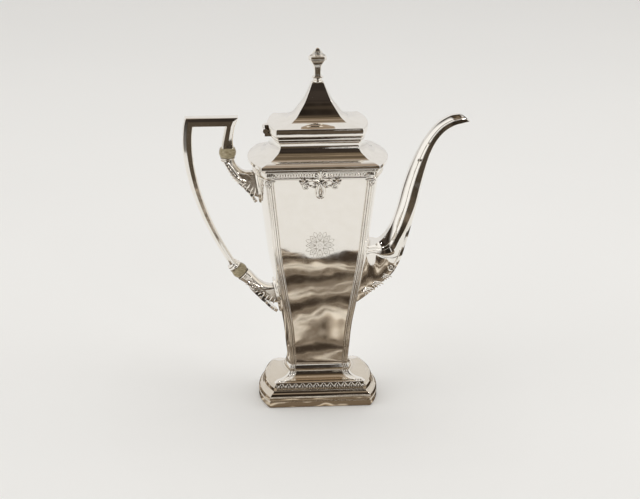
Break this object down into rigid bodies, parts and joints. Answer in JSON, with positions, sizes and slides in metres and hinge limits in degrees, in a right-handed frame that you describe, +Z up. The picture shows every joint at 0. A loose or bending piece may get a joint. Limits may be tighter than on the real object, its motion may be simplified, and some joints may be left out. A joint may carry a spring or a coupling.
{
  "type": "silver coffee pot",
  "caption": "Tall rectangular silver coffee pot with bowed ends, hinged pagoda lid, panelled swan-neck spout and square-cornered handle with heat breaks.",
  "frame": {"origin": "centre of the foot's underside, on the surface the pot stands on", "axes": "+Z up, +X towards the spout, -X towards the handle, -Y towards the front face"},
  "size_m": [0.1983, 0.0604, 0.2526],
  "materials": {
    "polished_silver": "hand-polished sterling, mirror bright with fine wipe marks and a faint warm tone",
    "chased_silver": "polished cast and chased ornament, darkened with tarnish in the recesses",
    "plain_silver": "plain satin-bright silver of the inner and small working pieces",
    "bone": "aged olive-yellow bone, semi-gloss with fine grain"
  },
  "bodies": {
    "body": {"foot": "polished_silver", "foot_band_front": "chased_silver", "foot_band_back": "chased_silver", "body_shell": "polished_silver", "body_floor": "plain_silver", "frieze_band": "chased_silver", "shoulder_cover": "polished_silver", "neck_collar": "polished_silver", "mouth_ring": "polished_silver", "pilaster_front_left": "chased_silver", "pilaster_front_right": "chased_silver", "pilaster_back_left": "chased_silver", "pilaster_back_right": "chased_silver", "capitals_front": "chased_silver", "capitals_back": "chased_silver", "cartouche_front": "chased_silver", "cartouche_back": "chased_silver", "spout": "polished_silver", "spout_leaf_front": "chased_silver", "spout_leaf_back": "chased_silver", "handle_grip": "polished_silver", "upper_heat_break": "bone", "lower_heat_break": "bone", "upper_break_pins": "plain_silver", "lower_break_pins": "plain_silver", "upper_handle_socket": "polished_silver", "lower_handle_socket": "polished_silver", "upper_socket_plate": "polished_silver", "lower_socket_plate": "polished_silver", "upper_socket_leaf": "chased_silver", "lower_socket_leaf": "chased_silver", "body_hinge_leaf": "polished_silver", "hinge_pin": "plain_silver"},
    "lid": {"lid_rim": "polished_silver", "lid_cover": "polished_silver", "lid_bezel": "plain_silver", "lid_hinge_leaf": "polished_silver", "finial_collar": "chased_silver", "finial": "chased_silver", "finial_stud": "plain_silver", "finial_washer": "plain_silver", "finial_nut": "plain_silver"}
  },
  "joints": [
    {"name": "lid_hinge", "type": "hinge", "parent": "body", "child": "lid", "pos_m": [-0.0361, 0, 0.1964], "axis": [0, -1, 0], "range_deg": [0, 100]}
  ]
}
